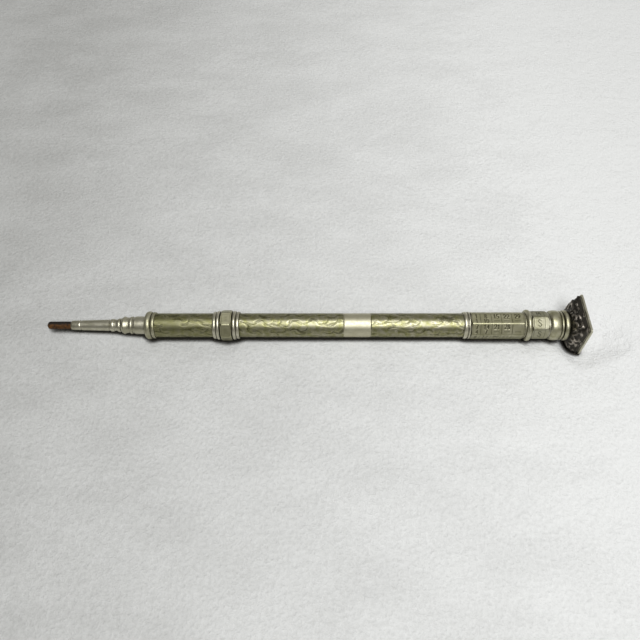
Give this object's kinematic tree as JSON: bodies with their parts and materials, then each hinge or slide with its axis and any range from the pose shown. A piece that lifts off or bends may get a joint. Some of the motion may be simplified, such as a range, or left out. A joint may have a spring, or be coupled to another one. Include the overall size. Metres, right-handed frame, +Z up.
{
  "type": "mechanical pencil",
  "caption": "Antique propelling pencil: slide-out nozzle, engraved barrel, twist-fed lead, seven-sided perpetual calendar and square seal cap over a lead magazine.",
  "frame": {"origin": "centre of the bounding box, on the axis of the pencil", "axes": "+X along the axis from the lead to the seal, +Z up with the pencil lying flat and one edge of the square seal downwards"},
  "size_m": [0.1332, 0.011, 0.011],
  "materials": {
    "engraved_nickel": "nickel silver, engraved with scrolling leaves and tarnished olive grey",
    "polished_nickel": "nickel silver, turned and polished, with a thin tarnish",
    "rusty_steel": "brown rust",
    "dark_seal": "chased relief, oxidised dark with worn bright ridges",
    "hardstone": "polished dark brown hardstone",
    "inner_brass": "drawn brass",
    "spring_steel": "drawn wire and turned steel",
    "graphite": "graphite lead"
  },
  "bodies": {
    "barrel": {"barrel": "engraved_nickel", "mouth_ring": "polished_nickel", "rear_collar": "polished_nickel", "calendar_sleeve": "engraved_nickel", "stop_ring": "polished_nickel", "magazine_tube": "polished_nickel", "magazine_plug": "inner_brass", "ring_spring": "spring_steel", "spare_leads": "graphite"},
    "weekday_ring": {"weekday_ring": "engraved_nickel"},
    "cap": {"finial": "polished_nickel", "seal_flare": "dark_seal", "seal_bezel": "polished_nickel", "seal_stone": "hardstone", "seal_screw": "spring_steel"},
    "slider": {"slider_nut": "engraved_nickel", "slider_front_ferrule": "polished_nickel", "slider_rear_ferrule": "polished_nickel", "slider_lug": "inner_brass", "slider_screw": "spring_steel", "carriage_tube": "inner_brass", "carriage_bush": "inner_brass", "carriage_end_ring": "inner_brass", "propelling_coil": "spring_steel"},
    "nozzle": {"nozzle_body": "polished_nickel", "nozzle_tube": "polished_nickel", "nose_ring": "polished_nickel", "lead_clutch": "rusty_steel", "guide_tube": "inner_brass"},
    "pusher": {"pusher_rod": "spring_steel", "follower": "inner_brass", "lead_cup": "inner_brass", "lead": "graphite"}
  },
  "joints": [
    {"name": "nozzle_slide", "type": "slide", "parent": "barrel", "child": "slider", "axis": [1, 0, 0], "range_m": [0, 0.0248]},
    {"name": "lead_twist", "type": "hinge", "parent": "slider", "child": "nozzle", "pos_m": [0, 0, 0], "axis": [1, 0, 0], "range_deg": [-722, 722]},
    {"name": "lead_feed", "type": "slide", "parent": "nozzle", "child": "pusher", "axis": [1, 0, 0], "range_m": [-0.006, 0.006]},
    {"name": "weekday_turn", "type": "hinge", "parent": "barrel", "child": "weekday_ring", "pos_m": [0, 0, 0], "axis": [1, 0, 0], "continuous": true},
    {"name": "cap_pull", "type": "slide", "parent": "barrel", "child": "cap", "axis": [1, 0, 0], "range_m": [0, 0.012]}
  ],
  "couplings": [
    {"joint": "lead_twist", "follows": "lead_feed", "rad_per_m": 2094.4}
  ]
}
